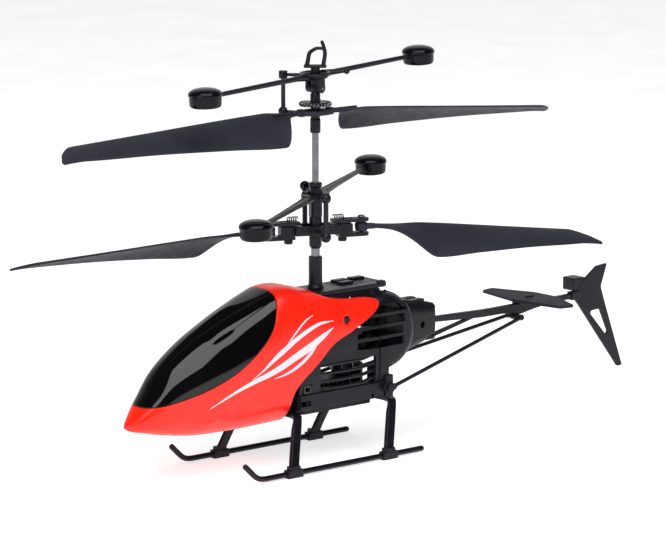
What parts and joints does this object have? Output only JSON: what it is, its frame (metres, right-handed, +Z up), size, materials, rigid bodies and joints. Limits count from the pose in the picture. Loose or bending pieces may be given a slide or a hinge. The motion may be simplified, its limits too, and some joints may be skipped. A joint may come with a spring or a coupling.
{
  "type": "toy helicopter",
  "caption": "Indoor coaxial toy helicopter: stacked counter-rotating rotors with weighted flybars, rounded nose shell, vented frame, skid landing gear and slim tail boom with a swept fin.",
  "frame": {"origin": "middle of the flat underside of the battery tray, under the rotor shaft", "axes": "+X towards the nose, +Y to port, +Z up along the rotor shaft; the ground is 13.5 mm below the origin"},
  "size_m": [0.19, 0.0705, 0.1096],
  "materials": {
    "black_plastic": "satin moulded",
    "blade_plastic": "satin, slightly flexible",
    "gloss_black": "high gloss",
    "red_shell": "gloss painted look",
    "steel": "bright",
    "nylon": "natural",
    "battery_foil": "foil wrapped",
    "board": "lacquered",
    "lamp": "clear"
  },
  "bodies": {
    "airframe": {"frame_left": "black_plastic", "frame_right": "black_plastic", "top_deck": "black_plastic", "battery_tray": "black_plastic", "mast_sleeve": "black_plastic", "bearing_top": "nylon", "bearing_bridge": "black_plastic", "bearing_bottom": "nylon", "motor_front": "steel", "motor_rear": "steel", "battery": "battery_foil", "circuit_board": "board", "ir_receiver": "gloss_black", "led": "lamp", "charge_socket": "nylon", "nose_shell": "red_shell", "canopy_window": "gloss_black", "shell_screw_left": "steel", "shell_screw_right": "steel", "legs_front": "black_plastic", "legs_rear": "black_plastic", "skid_left": "black_plastic", "skid_right": "black_plastic", "tail_boom": "black_plastic", "strut_left": "black_plastic", "strut_right": "black_plastic", "stabiliser": "blade_plastic", "tail_fin": "black_plastic"},
    "power_switch": {"power_switch": "black_plastic"},
    "pinion_front": {"pinion_front": "nylon"},
    "pinion_rear": {"pinion_rear": "nylon"},
    "upper_head": {"inner_shaft": "steel", "upper_rotor_gear": "nylon", "upper_hub": "black_plastic", "hub_spring": "steel", "upper_flybar_pin": "steel", "top_hook": "black_plastic"},
    "upper_rotor": {"upper_rotor": "blade_plastic"},
    "upper_flybar": {"upper_flybar": "black_plastic", "upper_weight_a": "gloss_black", "upper_weight_b": "gloss_black"},
    "upper_pushrod": {"upper_pushrod": "black_plastic"},
    "lower_head": {"outer_shaft": "steel", "lower_rotor_gear": "nylon", "lower_hub": "black_plastic"},
    "lower_flybar": {"lower_flybar": "black_plastic", "lower_weight_a": "gloss_black", "lower_weight_b": "gloss_black"},
    "lower_yoke": {"lower_yoke": "black_plastic", "grip_cap_a": "black_plastic", "grip_cap_b": "black_plastic", "grip_spring_a": "steel", "grip_spring_b": "steel", "blade_pin_a": "steel", "blade_pin_b": "steel"},
    "lower_blade_a": {"lower_blade_a": "blade_plastic"},
    "lower_blade_b": {"lower_blade_b": "blade_plastic"},
    "lower_pushrod_a": {"lower_pushrod_a": "black_plastic"},
    "lower_pushrod_b": {"lower_pushrod_b": "black_plastic"}
  },
  "joints": [
    {"name": "upper_rotor_spin", "type": "hinge", "parent": "airframe", "child": "upper_head", "pos_m": [0, 0, 0.0775], "axis": [0, 0, 1], "continuous": true},
    {"name": "lower_rotor_spin", "type": "hinge", "parent": "airframe", "child": "lower_head", "pos_m": [0, 0, 0.0468], "axis": [0, 0, 1], "continuous": true},
    {"name": "pinion_front_spin", "type": "hinge", "parent": "airframe", "child": "pinion_front", "pos_m": [0.009, 0, 0.0208], "axis": [0, 0, 1], "continuous": true},
    {"name": "pinion_rear_spin", "type": "hinge", "parent": "airframe", "child": "pinion_rear", "pos_m": [-0.009, 0, 0.0051], "axis": [0, 0, 1], "continuous": true},
    {"name": "upper_flybar_tilt", "type": "hinge", "parent": "upper_head", "child": "upper_flybar", "pos_m": [0, 0, 0.0838], "axis": [-0.1357, 0.9907, 0], "range_deg": [-8, 8]},
    {"name": "upper_rotor_feather", "type": "hinge", "parent": "upper_head", "child": "upper_rotor", "pos_m": [0, 0, 0.0775], "axis": [0.9914, -0.1305, 0], "range_deg": [-17.9, 17.9]},
    {"name": "upper_pushrod_swing", "type": "hinge", "parent": "upper_flybar", "child": "upper_pushrod", "pos_m": [0.00743, -0.00402, 0.08744], "axis": [-0.1357, 0.9907, 0], "range_deg": [-4.8, 4.8]},
    {"name": "lower_flybar_tilt", "type": "hinge", "parent": "lower_head", "child": "lower_flybar", "pos_m": [0, 0, 0.0556], "axis": [-0.4772, 0.8788, 0], "range_deg": [-8, 8]},
    {"name": "lower_yoke_feather", "type": "hinge", "parent": "lower_head", "child": "lower_yoke", "pos_m": [0, 0, 0.0468], "axis": [0.9304, -0.3665, 0], "range_deg": [-6.2, 6.2]},
    {"name": "lower_pushrod_a_swing", "type": "hinge", "parent": "lower_flybar", "child": "lower_pushrod_a", "pos_m": [0.00315, 0.00793, 0.05612], "axis": [-0.4772, 0.8788, 0], "range_deg": [-7.3, 7.3]},
    {"name": "lower_pushrod_b_swing", "type": "hinge", "parent": "lower_flybar", "child": "lower_pushrod_b", "pos_m": [-0.00306, -0.00788, 0.05687], "axis": [-0.4772, 0.8788, 0], "range_deg": [-6.8, 6.8]},
    {"name": "lower_blade_a_fold", "type": "hinge", "parent": "lower_yoke", "child": "lower_blade_a", "pos_m": [0.01172, -0.00462, 0.0468], "axis": [0, 0, 1], "range_deg": [-30, 30]},
    {"name": "lower_blade_b_fold", "type": "hinge", "parent": "lower_yoke", "child": "lower_blade_b", "pos_m": [-0.01172, 0.00462, 0.0468], "axis": [0, 0, 1], "range_deg": [-30, 30]},
    {"name": "power_switch_slide", "type": "slide", "parent": "airframe", "child": "power_switch", "axis": [1, 0, 0], "range_m": [0, 0.0016]}
  ],
  "couplings": [
    {"joint": "pinion_front_spin", "follows": "lower_rotor_spin", "ratio": -3.5},
    {"joint": "pinion_rear_spin", "follows": "upper_rotor_spin", "ratio": -3.5},
    {"joint": "upper_rotor_feather", "follows": "upper_flybar_tilt", "ratio": 2.2322},
    {"joint": "upper_pushrod_swing", "follows": "upper_flybar_tilt", "ratio": -0.5937},
    {"joint": "lower_yoke_feather", "follows": "lower_flybar_tilt", "ratio": -0.7709},
    {"joint": "lower_pushrod_a_swing", "follows": "lower_flybar_tilt", "ratio": -0.9016},
    {"joint": "lower_pushrod_b_swing", "follows": "lower_flybar_tilt", "ratio": -0.8394}
  ]
}
